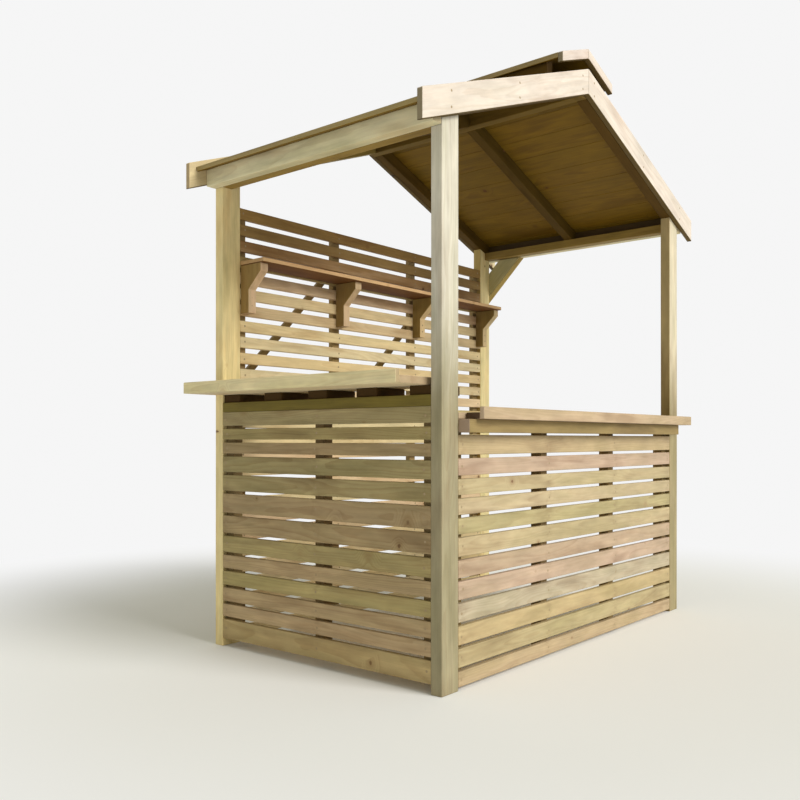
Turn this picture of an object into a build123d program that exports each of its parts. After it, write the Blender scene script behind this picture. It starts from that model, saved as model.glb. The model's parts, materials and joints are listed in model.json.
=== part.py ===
"""Outdoor garden bar in planed softwood, in millimetres, +Z up.

Four posts carry a gabled board roof with a raised ridge cap. Slatted panels close the front, the
left side and the back; two counters run along the front and the left; the right side is the way in.
While it is modelled, X runs from the left posts' outer face to the right, Y from the front posts'
front face to the back. Every piece is then moved so that the origin is the middle of the bar's
bounding box, at ground level.
"""
import os
from math import cos, radians, sqrt, tan

from build123d import *

# Plan of the four posts, over their outer faces
FRAME_WIDTH = 1900.0
FRAME_DEPTH = 1140.0
POST_WIDTH = 90.0
POST_DEPTH = 45.0
POST_HEIGHT = 1855.0  # at the post's outer face, where its bevelled top is lowest

# Roof frame
ROOF_PITCH = 20.5  # degrees
RAFTER_HEIGHT = 56.0  # square to the slope
RAFTER_THICKNESS = 45.0
RIDGE_THICKNESS = 45.0
EAVE_BEAM_THICKNESS = 45.0
EAVE_BEAM_HEIGHT = 66.0  # at its outer face
EAVE_PLATE_THICKNESS = 45.0
KNEE_WIDTH = 95.0
KNEE_LEG = 245.0  # along the post and along the eave beam

# Roof cover
ROOF_BOARD_THICKNESS = 18.0
EAVE_OVERHANG = 97.0
BARGEBOARD_WIDTH = 95.0
BARGEBOARD_THICKNESS = 22.0
BARGEBOARD_OVERHANG = 128.0

# Raised ridge cap
CAP_HALF_WIDTH = 210.0
CAP_BOARD_THICKNESS = 20.0
CAP_TRIM_WIDTH = 38.0
CAP_LIFT = 40.0  # clear height between a bargeboard and the trim above it
CAP_BATTEN_WIDTH = 45.0
CAP_BATTEN_INSET = 20.0  # from the cap board's outer edge
CAP_BATTEN_SETBACK = 60.0  # from either gable

# Panels
BATTEN_WIDTH = 45.0
PANEL_SLAT_THICKNESS = 20.0
PANEL_SLAT_GAP = 12.0
PANEL_BATTEN_DEPTH = 45.0
FRONT_PANEL_START = 12.0
FRONT_SLATS = (51, 62, 62, 62, 60, 58, 62, 52, 53, 52, 56, 66, 40)  # heights, bottom to top
FRONT_BATTEN_COUNT = 4
LEFT_PANEL_START = 33.0
LEFT_SLATS = (76, 49, 53, 54, 52, 64, 69, 75, 62, 62, 43, 43, 54)  # heights, bottom to top
LEFT_BATTEN_COUNT = 3
BACK_PANEL_START = 20.0
BACK_PANEL_TOP = 1768.0
BACK_SLAT_THICKNESS = 20.0
BACK_SLAT_HEIGHT = 45.0
BACK_SLAT_GAP = 20.5
BACK_BATTEN_COUNT = 4
LEAST_SLAT = 10.0  # a narrower strip than this is left out
BACK_BRACE_WIDTH = 30.0
BACK_BRACE_THICKNESS = 20.0
BACK_BRACE_FEET = (1000.0, 804.0)  # lowest point of the left and the right brace

# Front counter
FRONT_COUNTER_HEIGHT = 933.0  # top of the raised edge
FRONT_EDGE_HEIGHT = 41.0
FRONT_COUNTER_THICKNESS = 22.0
FRONT_COUNTER_OVERHANG = 75.0
FRONT_COUNTER_DEPTH = 120.0  # inside the posts' front faces
FRONT_COUNTER_START = 129.0  # left end of the outer board and the edge
FRONT_COUNTER_END_INSET = 10.0  # right end, from the frame's side
FRONT_RAIL_SIZE = 45.0
COUNTER_BOARD_GAP = 3.0
COUNTER_EDGE_THICKNESS = 18.0

# Left counter
LEFT_COUNTER_HEIGHT = 1046.0  # top of the raised edge
LEFT_EDGE_HEIGHT = 44.0
LEFT_COUNTER_THICKNESS = 26.0
LEFT_COUNTER_SETBACK = 17.0  # front end, behind the front post
LEFT_COUNTER_OVERHANG = 156.0
LEFT_COUNTER_REACH = 160.0  # inwards from the posts' outer faces
LEFT_SUPPORT_HEIGHT = 31.0
LEFT_SUPPORT_INSET = 8.0  # from the panel's outer face
LEFT_SUPPORT_WIDTH = 95.0
LEFT_SUPPORT_COUNT = 5
LEFT_RAIL_HEIGHT = 38.0
LEFT_RAIL_DEPTH = 65.0

# Shelf on the back panel
SHELF_TOP = 1550.0
SHELF_DEPTH = 140.0
SHELF_THICKNESS = 18.0
BRACKET_THICKNESS = 42.0
BRACKET_HEIGHT = 195.0
BRACKET_REACH = 120.0
BRACKET_NOSE = 31.0  # height of the bracket's tip
BRACKET_LEG = 47.0  # depth of the upright leg
BRACKET_HAUNCH = 100.0  # from the shelf down to where the slanting edge meets the leg

# Heights on the ridge line, each where a sloping face would meet it
RISE = tan(radians(ROOF_PITCH))
RIDGE_X = FRAME_WIDTH / 2


def plumb(thickness):
    """Upright measure of a thickness that is square to the slope."""
    return thickness / cos(radians(ROOF_PITCH))


RAFTER_UNDER = POST_HEIGHT + RIDGE_X * RISE
BOARD_UNDER = RAFTER_UNDER + plumb(RAFTER_HEIGHT)
BOARD_TOP = BOARD_UNDER + plumb(ROOF_BOARD_THICKNESS)
BARGEBOARD_TOP = RAFTER_UNDER + plumb(BARGEBOARD_WIDTH)
TRIM_UNDER = BARGEBOARD_TOP + CAP_LIFT
CAP_TOP = TRIM_UNDER + plumb(CAP_TRIM_WIDTH)
CAP_UNDER = CAP_TOP - plumb(CAP_BOARD_THICKNESS)

# Places that several pieces share
CLEAR_LEFT = POST_WIDTH  # inner faces of the left and right posts
CLEAR_RIGHT = FRAME_WIDTH - POST_WIDTH
CLEAR_FRONT = POST_DEPTH  # inner faces of the front and back posts
CLEAR_BACK = FRAME_DEPTH - POST_DEPTH
FRONT_COUNTER_UNDER = FRONT_COUNTER_HEIGHT - FRONT_EDGE_HEIGHT
LEFT_COUNTER_UNDER = LEFT_COUNTER_HEIGHT - LEFT_EDGE_HEIGHT
LEFT_RAIL_TOP = LEFT_COUNTER_UNDER - LEFT_SUPPORT_HEIGHT
LEFT_PANEL_TOP = LEFT_RAIL_TOP - LEFT_RAIL_HEIGHT
SHELF_UNDER = SHELF_TOP - SHELF_THICKNESS

# Origin: middle of the bounding box
LOWEST_X = -max(LEFT_COUNTER_OVERHANG, BARGEBOARD_OVERHANG)
HIGHEST_X = FRAME_WIDTH + BARGEBOARD_OVERHANG
LOWEST_Y = -max(FRONT_COUNTER_OVERHANG, BARGEBOARD_THICKNESS)
HIGHEST_Y = FRAME_DEPTH + max(BARGEBOARD_THICKNESS, BACK_BRACE_THICKNESS)
TO_ORIGIN = Pos(-(LOWEST_X + HIGHEST_X) / 2, -(LOWEST_Y + HIGHEST_Y) / 2, 0)


def block(x_span, y_span, z_span):
    """Square-cut timber between two corners."""
    size = [span[1] - span[0] for span in (x_span, y_span, z_span)]
    centre = [(span[0] + span[1]) / 2 for span in (x_span, y_span, z_span)]
    return Pos(*centre) * Box(*size)


def along_y(outline, y_span):
    """Solid with an (x, z) outline, carried along Y."""
    points = [(x, y_span[0], z) for x, z in outline]
    face = make_face(Polyline(*points, close=True))
    return extrude(face, amount=y_span[1] - y_span[0], dir=(0, 1, 0))


def along_x(outline, x_span):
    """Solid with a (y, z) outline, carried along X."""
    points = [(x_span[0], y, z) for y, z in outline]
    face = make_face(Polyline(*points, close=True))
    return extrude(face, amount=x_span[1] - x_span[0], dir=(1, 0, 0))


def on_slope(ridge_height, x):
    """Height at x of a face that runs down the left slope from the ridge line."""
    return ridge_height - (RIDGE_X - x) * RISE


def sloping(x_span, y_span, under, top):
    """Piece of the left slope with plumb ends, between two heights on the ridge line."""
    low_x, high_x = x_span
    outline = [
        (low_x, on_slope(under, low_x)),
        (high_x, on_slope(under, high_x)),
        (high_x, on_slope(top, high_x)),
        (low_x, on_slope(top, low_x)),
    ]
    return along_y(outline, y_span)


def to_right(piece):
    """Mirror image of a left-hand piece about the ridge."""
    return mirror(piece, about=Plane.YZ.offset(RIDGE_X))


def spread(low, high, width, count):
    """Spans of equal pieces spread evenly from one end of a run to the other."""
    step = (high - low - width) / (count - 1)
    return [(low + i * step, low + i * step + width) for i in range(count)]


def mixed_rows(start, top, heights, gap):
    """Spans of slats of mixed heights, drawn out evenly to fill a panel from start to top."""
    stretch = (top - start - gap * (len(heights) - 1)) / sum(heights)
    spans = []
    low = start
    for height in heights:
        spans.append((low, low + height * stretch))
        low += height * stretch + gap
    return spans


def even_rows(start, top, height, gap):
    """Spans of equal slats from a panel's start to its top."""
    spans = []
    low = start
    while low < top - LEAST_SLAT:
        spans.append((low, min(low + height, top)))
        low += height + gap
    return spans


def post(y_span):
    outline = [
        (0, 0),
        (POST_WIDTH, 0),
        (POST_WIDTH, on_slope(RAFTER_UNDER, POST_WIDTH)),
        (0, on_slope(RAFTER_UNDER, 0)),
    ]
    return along_y(outline, y_span)


def rafter(y_span):
    """From the eave beam to the ridge beam's side."""
    return sloping((0, RIDGE_X - RIDGE_THICKNESS / 2), y_span, RAFTER_UNDER, BOARD_UNDER)


def eave_under():
    return on_slope(BOARD_UNDER, -EAVE_BEAM_THICKNESS) - EAVE_BEAM_HEIGHT


def eave_beam():
    """Outside the posts, with its top bevelled to the roof boards."""
    outline = [
        (-EAVE_BEAM_THICKNESS, eave_under()),
        (0, eave_under()),
        (0, on_slope(BOARD_UNDER, 0)),
        (-EAVE_BEAM_THICKNESS, on_slope(BOARD_UNDER, -EAVE_BEAM_THICKNESS)),
    ]
    return along_y(outline, (0, FRAME_DEPTH))


def eave_plate():
    """Between the posts, beside the eave beam; the middle rafter rests on it."""
    outline = [
        (0, eave_under()),
        (EAVE_PLATE_THICKNESS, eave_under()),
        (EAVE_PLATE_THICKNESS, on_slope(RAFTER_UNDER, EAVE_PLATE_THICKNESS)),
        (0, on_slope(RAFTER_UNDER, 0)),
    ]
    return along_y(outline, (CLEAR_FRONT, CLEAR_BACK))


def ridge_beam():
    """Between the rafters' heads, with a top that follows both slopes."""
    side = RIDGE_X - RIDGE_THICKNESS / 2
    outline = [
        (side, on_slope(RAFTER_UNDER, side)),
        (side + RIDGE_THICKNESS, on_slope(RAFTER_UNDER, side)),
        (side + RIDGE_THICKNESS, on_slope(BOARD_UNDER, side)),
        (RIDGE_X, BOARD_UNDER),
        (side, on_slope(BOARD_UNDER, side)),
    ]
    return along_y(outline, (0, FRAME_DEPTH))


def knee_brace():
    """In the right eave beam's plane, from the back post's outer face up to the beam."""
    inner_leg = KNEE_LEG - KNEE_WIDTH * sqrt(2)
    outline = [
        (FRAME_DEPTH, eave_under() - KNEE_LEG),
        (FRAME_DEPTH, eave_under() - inner_leg),
        (FRAME_DEPTH - inner_leg, eave_under()),
        (FRAME_DEPTH - KNEE_LEG, eave_under()),
    ]
    return along_x(outline, (FRAME_WIDTH, FRAME_WIDTH + EAVE_BEAM_THICKNESS))


def roof_boards():
    return sloping((-EAVE_OVERHANG, RIDGE_X), (0, FRAME_DEPTH), BOARD_UNDER, BOARD_TOP)


def gable_spans():
    """Y spans of the boards fixed to the front and the back gable."""
    front = (-BARGEBOARD_THICKNESS, 0)
    back = (FRAME_DEPTH, FRAME_DEPTH + BARGEBOARD_THICKNESS)
    return {"front": front, "back": back}


def bargeboard(y_span):
    return sloping((-BARGEBOARD_OVERHANG, RIDGE_X), y_span, RAFTER_UNDER, BARGEBOARD_TOP)


def cap_board():
    return sloping((RIDGE_X - CAP_HALF_WIDTH, RIDGE_X), (0, FRAME_DEPTH), CAP_UNDER, CAP_TOP)


def cap_trim(y_span):
    """Closes the end of a cap board; its upper edge is flush with the board's top."""
    return sloping((RIDGE_X - CAP_HALF_WIDTH, RIDGE_X), y_span, TRIM_UNDER, CAP_TOP)


def cap_batten():
    """Carries a cap board along its outer edge."""
    low_x = RIDGE_X - CAP_HALF_WIDTH + CAP_BATTEN_INSET
    y_span = (CAP_BATTEN_SETBACK, FRAME_DEPTH - CAP_BATTEN_SETBACK)
    return sloping((low_x, low_x + CAP_BATTEN_WIDTH), y_span, BOARD_TOP, CAP_UNDER)


def front_panel():
    """Level slats flush with the front posts, on upright battens."""
    top = FRONT_COUNTER_UNDER
    slats = [
        block((CLEAR_LEFT, CLEAR_RIGHT), (0, PANEL_SLAT_THICKNESS), z_span)
        for z_span in mixed_rows(FRONT_PANEL_START, top, FRONT_SLATS, PANEL_SLAT_GAP)
    ]
    depth = (PANEL_SLAT_THICKNESS, PANEL_SLAT_THICKNESS + PANEL_BATTEN_DEPTH)
    battens = [
        block(x_span, depth, (FRONT_PANEL_START, top))
        for x_span in spread(CLEAR_LEFT, CLEAR_RIGHT, BATTEN_WIDTH, FRONT_BATTEN_COUNT)
    ]
    return Part() + slats + battens


def left_panel():
    """Level slats flush with the left posts' outer faces, on upright battens."""
    slats = [
        block((0, PANEL_SLAT_THICKNESS), (CLEAR_FRONT, CLEAR_BACK), z_span)
        for z_span in mixed_rows(LEFT_PANEL_START, LEFT_PANEL_TOP, LEFT_SLATS, PANEL_SLAT_GAP)
    ]
    depth = (PANEL_SLAT_THICKNESS, PANEL_SLAT_THICKNESS + PANEL_BATTEN_DEPTH)
    battens = [
        block(depth, y_span, (LEFT_PANEL_START, LEFT_PANEL_TOP))
        for y_span in spread(CLEAR_FRONT, CLEAR_BACK, BATTEN_WIDTH, LEFT_BATTEN_COUNT)
    ]
    return Part() + slats + battens


def back_batten_spans():
    return spread(CLEAR_LEFT, CLEAR_RIGHT, BATTEN_WIDTH, BACK_BATTEN_COUNT)


def back_panel():
    """Narrower slats between the back posts; the battens behind end flush with the posts."""
    slat_back = CLEAR_BACK + BACK_SLAT_THICKNESS
    slats = [
        block((CLEAR_LEFT, CLEAR_RIGHT), (CLEAR_BACK, slat_back), z_span)
        for z_span in even_rows(BACK_PANEL_START, BACK_PANEL_TOP, BACK_SLAT_HEIGHT, BACK_SLAT_GAP)
    ]
    battens = [
        block(x_span, (slat_back, FRAME_DEPTH), (BACK_PANEL_START, BACK_PANEL_TOP))
        for x_span in back_batten_spans()
    ]
    return Part() + slats + battens


def back_brace(bay, foot):
    """At 45 degrees across one bay of the back panel, on its battens."""
    low_x = back_batten_spans()[bay][0]
    high_x = back_batten_spans()[bay + 1][1]
    rise = high_x - low_x
    upright = BACK_BRACE_WIDTH * sqrt(2)
    outline = [
        (low_x, foot),
        (high_x, foot + rise),
        (high_x, foot + rise + upright),
        (low_x, foot + upright),
    ]
    return along_y(outline, (FRAME_DEPTH, FRAME_DEPTH + BACK_BRACE_THICKNESS))


def front_counter_rail():
    """Under the outer board, against the slats."""
    z_span = (FRONT_COUNTER_UNDER - FRONT_RAIL_SIZE, FRONT_COUNTER_UNDER)
    return block((CLEAR_LEFT, CLEAR_RIGHT), (-FRONT_RAIL_SIZE, 0), z_span)


def front_counter_span():
    return (FRONT_COUNTER_START, FRAME_WIDTH - FRONT_COUNTER_END_INSET)


def front_counter_boards():
    """One on the rail in front of the posts, one on the panel between them."""
    z_span = (FRONT_COUNTER_UNDER, FRONT_COUNTER_UNDER + FRONT_COUNTER_THICKNESS)
    outer_depth = (COUNTER_EDGE_THICKNESS - FRONT_COUNTER_OVERHANG, -COUNTER_BOARD_GAP)
    outer = block(front_counter_span(), outer_depth, z_span)
    return Part() + [outer, block((CLEAR_LEFT, CLEAR_RIGHT), (0, FRONT_COUNTER_DEPTH), z_span)]


def front_counter_edge():
    """Along the outer board's front, level with its underside and standing above its top."""
    y_span = (-FRONT_COUNTER_OVERHANG, COUNTER_EDGE_THICKNESS - FRONT_COUNTER_OVERHANG)
    return block(front_counter_span(), y_span, (FRONT_COUNTER_UNDER, FRONT_COUNTER_HEIGHT))


def left_top_rail():
    """On the left panel's slats and battens."""
    z_span = (LEFT_PANEL_TOP, LEFT_RAIL_TOP)
    return block((0, LEFT_RAIL_DEPTH), (CLEAR_FRONT, CLEAR_BACK), z_span)


def left_counter_supports():
    """Cross pieces on the rail that carry both boards."""
    x_span = (LEFT_SUPPORT_INSET, LEFT_COUNTER_REACH)
    return Part() + [
        block(x_span, y_span, (LEFT_RAIL_TOP, LEFT_COUNTER_UNDER))
        for y_span in spread(CLEAR_FRONT, CLEAR_BACK, LEFT_SUPPORT_WIDTH, LEFT_SUPPORT_COUNT)
    ]


def left_counter_boards():
    """The outer board is notched round the back post; the inner one lies between the posts."""
    z_span = (LEFT_COUNTER_UNDER, LEFT_COUNTER_UNDER + LEFT_COUNTER_THICKNESS)
    start = CLEAR_FRONT + LEFT_COUNTER_SETBACK
    overhang = (COUNTER_EDGE_THICKNESS - LEFT_COUNTER_OVERHANG, 0)
    outer = block(overhang, (start, FRAME_DEPTH), z_span)
    outer += block((0, POST_WIDTH), (start, CLEAR_BACK), z_span)
    inner_width = (POST_WIDTH + COUNTER_BOARD_GAP, LEFT_COUNTER_REACH)
    return Part() + [outer, block(inner_width, (start, CLEAR_BACK), z_span)]


def left_counter_edge():
    """Along the outer board's side, level with its underside and standing above its top."""
    x_span = (-LEFT_COUNTER_OVERHANG, COUNTER_EDGE_THICKNESS - LEFT_COUNTER_OVERHANG)
    y_span = (CLEAR_FRONT + LEFT_COUNTER_SETBACK, FRAME_DEPTH)
    return block(x_span, y_span, (LEFT_COUNTER_UNDER, LEFT_COUNTER_HEIGHT))


def shelf():
    y_span = (CLEAR_BACK - SHELF_DEPTH, CLEAR_BACK)
    return block((CLEAR_LEFT, CLEAR_RIGHT), y_span, (SHELF_UNDER, SHELF_TOP))


def shelf_bracket(batten_span):
    """Upright leg on the slats, arm under the shelf, and a slanting edge between them."""
    foot = SHELF_UNDER - BRACKET_HEIGHT
    outline = [
        (CLEAR_BACK, foot),
        (CLEAR_BACK, SHELF_UNDER),
        (CLEAR_BACK - BRACKET_REACH, SHELF_UNDER),
        (CLEAR_BACK - BRACKET_REACH, SHELF_UNDER - BRACKET_NOSE),
        (CLEAR_BACK - BRACKET_LEG, SHELF_UNDER - BRACKET_HAUNCH),
        (CLEAR_BACK - BRACKET_LEG, foot),
    ]
    low_x = (batten_span[0] + batten_span[1] - BRACKET_THICKNESS) / 2
    return along_x(outline, (low_x, low_x + BRACKET_THICKNESS))


def posts():
    front = post((0, POST_DEPTH))
    back = post((CLEAR_BACK, FRAME_DEPTH))
    return {
        "post_front_left": front,
        "post_front_right": to_right(front),
        "post_back_left": back,
        "post_back_right": to_right(back),
    }


def roof():
    nodes = {"ridge_beam": ridge_beam(), "knee_brace": knee_brace()}
    rafters = zip(("front", "middle", "back"), spread(0, FRAME_DEPTH, RAFTER_THICKNESS, 3))
    left = {f"rafter_{place}": rafter(y_span) for place, y_span in rafters}
    left["eave_beam"] = eave_beam()
    left["eave_plate"] = eave_plate()
    left["roof_boards"] = roof_boards()
    left["cap_board"] = cap_board()
    left["cap_batten"] = cap_batten()
    for place, y_span in gable_spans().items():
        left[f"bargeboard_{place}"] = bargeboard(y_span)
        left[f"cap_trim_{place}"] = cap_trim(y_span)
    for name, piece in left.items():
        nodes[f"{name}_left"] = piece
        nodes[f"{name}_right"] = to_right(piece)
    return nodes


def front():
    return {
        "front_panel": front_panel(),
        "front_counter_rail": front_counter_rail(),
        "front_counter_boards": front_counter_boards(),
        "front_counter_edge": front_counter_edge(),
    }


def left_side():
    return {
        "left_panel": left_panel(),
        "left_top_rail": left_top_rail(),
        "left_counter_supports": left_counter_supports(),
        "left_counter_boards": left_counter_boards(),
        "left_counter_edge": left_counter_edge(),
    }


def back():
    brackets = [shelf_bracket(batten_span) for batten_span in back_batten_spans()]
    nodes = {"back_panel": back_panel(), "shelf": shelf(), "shelf_brackets": Part() + brackets}
    for bay, side in enumerate(("left", "right")):
        nodes[f"back_brace_{side}"] = back_brace(bay, BACK_BRACE_FEET[bay])
    return nodes


def main():
    os.makedirs("parts", exist_ok=True)
    for nodes in (posts(), roof(), front(), left_side(), back()):
        for name, piece in nodes.items():
            export_step(TO_ORIGIN * piece, f"parts/{name}.step")


main()
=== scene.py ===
"""Looks of an outdoor garden bar in planed softwood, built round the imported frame, in metres."""

import bmesh
import bpy
import json
import logging
import math
import random
from dataclasses import dataclass, field, replace
from enum import Enum
from mathutils import Matrix, Vector, noise

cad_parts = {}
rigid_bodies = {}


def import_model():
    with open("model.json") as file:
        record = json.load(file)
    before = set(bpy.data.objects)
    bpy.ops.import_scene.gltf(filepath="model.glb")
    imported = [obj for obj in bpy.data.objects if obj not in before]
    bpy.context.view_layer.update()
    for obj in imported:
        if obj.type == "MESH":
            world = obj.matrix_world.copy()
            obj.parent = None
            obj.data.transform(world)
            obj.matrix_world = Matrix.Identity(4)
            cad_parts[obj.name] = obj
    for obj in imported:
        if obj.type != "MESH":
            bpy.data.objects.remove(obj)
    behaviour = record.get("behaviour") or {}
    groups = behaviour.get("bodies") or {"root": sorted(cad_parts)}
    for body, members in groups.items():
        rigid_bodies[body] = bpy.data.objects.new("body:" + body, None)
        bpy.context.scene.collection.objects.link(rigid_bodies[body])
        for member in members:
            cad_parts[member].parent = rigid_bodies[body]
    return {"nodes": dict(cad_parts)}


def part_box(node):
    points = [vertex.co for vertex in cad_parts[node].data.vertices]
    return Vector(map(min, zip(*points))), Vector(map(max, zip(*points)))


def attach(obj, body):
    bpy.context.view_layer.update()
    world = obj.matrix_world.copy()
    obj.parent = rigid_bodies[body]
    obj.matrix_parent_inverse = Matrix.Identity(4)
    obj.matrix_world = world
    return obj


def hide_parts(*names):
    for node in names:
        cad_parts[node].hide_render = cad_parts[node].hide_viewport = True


for leftover in list(bpy.data.objects):
    bpy.data.objects.remove(leftover, do_unlink=True)

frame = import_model()

LOG = logging.getLogger("garden_bar")
PITCH = math.radians(20.5)
UP = Vector((0, 0, 1))
DOWN = Vector((0, 0, -1))
LEFTWARD = Vector((-1, 0, 0))
RIGHTWARD = Vector((1, 0, 0))
FRONTWARD = Vector((0, -1, 0))
BACKWARD = Vector((0, 1, 0))

# What a timber's mesh carries for its material: its place in the log, its number for hue, and which
# faces are cut across the grain or get painted shade. A screw head carries its rim.
PATTERN = "grain"
TONE = "tone"
END_GRAIN = "end_grain"
# Faces that look away from the light, marked for painted shade.
PAINTED_SHADE = "painted_shade"
RIM = "rim"

# What the points of a row carry for the pieces that are set out on them.
STRETCH = "stretch"
FACING = "facing"
SHIFT = "shift"
OWN_TONE = "own_tone"

# Where boards are cut from their log: how far along it, across it, and from the pith.
LOG_LENGTH = 9.0
LOG_ACROSS = 0.035
LOG_DEPTHS = (0.02, 0.11)
NOISE_MIDDLE = (0.5, 0.5, 0.5)

Colour = tuple[float, float, float]
Point = tuple[float, float, float]
Rows = list[tuple[float, float]]
Node = bpy.types.Node
Socket = bpy.types.NodeSocket
Piece = bpy.types.Object
Solid = bmesh.types.BMesh


class Grain(Enum):
    """Direction in which a timber's grain runs, in the row frame."""

    WIDTH = (1.0, 0.0, 0.0)
    DEPTH = (0.0, 1.0, 0.0)
    UPRIGHT = (0.0, 0.0, 1.0)
    LEFT_SLOPE = (math.cos(PITCH), 0.0, math.sin(PITCH))
    RIGHT_SLOPE = (math.cos(PITCH), 0.0, -math.sin(PITCH))
    BRACE = (math.sqrt(0.5), 0.0, math.sqrt(0.5))
    KNEE = (0.0, -math.sqrt(0.5), math.sqrt(0.5))

    @property
    def along(self) -> Vector:
        """Unit vector along the grain."""
        return Vector(self.value)


SLOPES = (("left", Grain.LEFT_SLOPE), ("right", Grain.RIGHT_SLOPE))


class Slot(Enum):
    """Material slots of the record."""

    FRAME = "frame_timber"
    CLADDING = "cladding"
    COUNTER = "counter_timber"
    ROOF = "roof_boards"
    FASCIA = "fascia_boards"
    SHELF = "shelf_timber"


class NodeGraph:
    """Adds linked nodes to a node tree, with a socket or a plain value for each input."""

    def __init__(self, tree: bpy.types.NodeTree) -> None:
        """Start from an empty tree.

        Args:
            tree: The shader or geometry tree to fill.
        """
        self.tree = tree
        tree.nodes.clear()

    def feed(self, socket: Socket, value: object) -> None:
        """Link a socket to another, or set its value.

        Args:
            socket: Input socket.
            value: Output socket to link, or a value; None leaves the default.
        """
        if isinstance(value, Socket):
            self.tree.links.new(value, socket)
        elif value is not None:
            socket.default_value = value

    def add(self, kind: str, inputs: dict | None = None, **settings: object) -> Node:
        """Add one node.

        Args:
            kind: The node's type name.
            inputs: Input name or index to socket or value.
            **settings: Properties of the node.

        Returns:
            The new node.
        """
        node = self.tree.nodes.new(kind)
        for name, value in settings.items():
            setattr(node, name, value)
        for key, value in (inputs or {}).items():
            self.feed(node.inputs[key], value)
        return node

    def math(self, operation: str, *values: object) -> Socket:
        """Scalar arithmetic on sockets or numbers."""
        node = self.add("ShaderNodeMath", dict(enumerate(values)), operation=operation)
        return node.outputs[0]

    def vector(self, operation: str, *values: object) -> Socket:
        """Vector arithmetic; LENGTH gives a number, the other operations a vector."""
        node = self.add("ShaderNodeVectorMath", dict(enumerate(values)), operation=operation)
        return node.outputs[1 if operation == "LENGTH" else 0]

    def scaled(self, vector: Socket, factor: float) -> Socket:
        """A vector times a number."""
        node = self.add("ShaderNodeVectorMath", {0: vector, 3: factor}, operation="SCALE")
        return node.outputs[0]

    def split(self, vector: Socket) -> list[Socket]:
        """The three numbers of a vector."""
        return list(self.add("ShaderNodeSeparateXYZ", {0: vector}).outputs)

    def join(self, x: object, y: object, z: object) -> Socket:
        """A vector from three numbers."""
        return self.add("ShaderNodeCombineXYZ", {0: x, 1: y, 2: z}).outputs[0]

    def noise(self, place: Socket, scale: Point, detail: float = 2.0, rough: float = 0.5) -> Node:
        """Noise texture on stretched coordinates.

        Args:
            place: Coordinates, in metres.
            scale: Patches in a metre, on each axis.
            detail: How many finer layers it has.
            rough: Weight of the finer layers.

        Returns:
            The texture's node.
        """
        inputs = {"Vector": self.vector("MULTIPLY", place, scale), "Scale": 1.0,
                  "Detail": detail, "Roughness": rough}
        return self.add("ShaderNodeTexNoise", inputs)

    def patches(self, place: Socket, scale: Point, detail: float = 2.0,
                rough: float = 0.5) -> Socket:
        """Noise as a number from 0 to 1; its arguments are those of noise."""
        return self.noise(place, scale, detail, rough).outputs["Fac"]

    def drift(self, place: Socket, scale: Point, detail: float = 2.0) -> Socket:
        """Noise as a vector from -0.5 to 0.5 on each axis."""
        colour = self.noise(place, scale, detail).outputs["Color"]
        return self.vector("SUBTRACT", colour, NOISE_MIDDLE)

    def ease(self, value: object, low: float, high: float) -> Socket:
        """Smooth step from 0 at low to 1 at high."""
        inputs = {"Value": value, "From Min": low, "From Max": high}
        node = self.add("ShaderNodeMapRange", inputs, interpolation_type="SMOOTHSTEP")
        return node.outputs[0]

    def mix(self, share: object, first: object, second: object, blend: str = "MIX") -> Socket:
        """Mix of two colours.

        Args:
            share: Share of the second colour.
            first: Colour or socket.
            second: Colour or socket.
            blend: Blend mode.

        Returns:
            The mixed colour.
        """
        node = self.add("ShaderNodeMix", data_type="RGBA", blend_type=blend)
        sockets = (node.inputs[0], node.inputs[6], node.inputs[7])
        for socket, value in zip(sockets, (share, first, second)):
            self.feed(socket, opaque(value) if isinstance(value, tuple) else value)
        return node.outputs[2]

    def tinted(self, colour: Socket, tint: object, share: object, strength: float = 1.0) -> Socket:
        """Colour multiplied by a tint.

        Args:
            colour: Colour before the tint.
            tint: Colour or socket to multiply by.
            share: Where it is tinted, from 0 to 1.
            strength: How much of the tint is used there.

        Returns:
            The tinted colour.
        """
        return self.mix(share, colour, self.mix(strength, colour, tint, "MULTIPLY"))

    def ramp(self, share: object, stops: tuple[tuple[float, Colour], ...]) -> Socket:
        """Colour ramp.

        Args:
            share: Place on the ramp.
            stops: Positions and colours, from low to high.

        Returns:
            The ramp's colour.
        """
        node = self.add("ShaderNodeValToRGB", {0: share})
        elements = node.color_ramp.elements
        while len(elements) < len(stops):
            elements.new(1.0)
        for element, (position, colour) in zip(elements, stops):
            element.position = position
            element.color = opaque(colour)
        return node.outputs[0]

    def attribute(self, name: str, output: str = "Fac") -> Socket:
        """Read an attribute in a material."""
        return self.add("ShaderNodeAttribute", attribute_name=name).outputs[output]

    def object_place(self) -> Socket:
        """Object coordinates in a material, in metres."""
        return self.add("ShaderNodeTexCoord").outputs["Object"]

    def surface(self, inputs: dict) -> None:
        """End a material in a principled shader with these inputs."""
        shader = self.add("ShaderNodeBsdfPrincipled", inputs)
        self.add("ShaderNodeOutputMaterial", {"Surface": shader.outputs[0]})


def opaque(colour: Colour) -> tuple[float, float, float, float]:
    """A colour with full alpha."""
    return (*colour, 1.0)


def linear(red: float, green: float, blue: float) -> Colour:
    """Scene colour of a picture's 0 to 255 colour."""
    shares = (value / 255 for value in (red, green, blue))
    return tuple(s / 12.92 if s <= 0.04045 else ((s + 0.055) / 1.055) ** 2.4 for s in shares)


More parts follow.
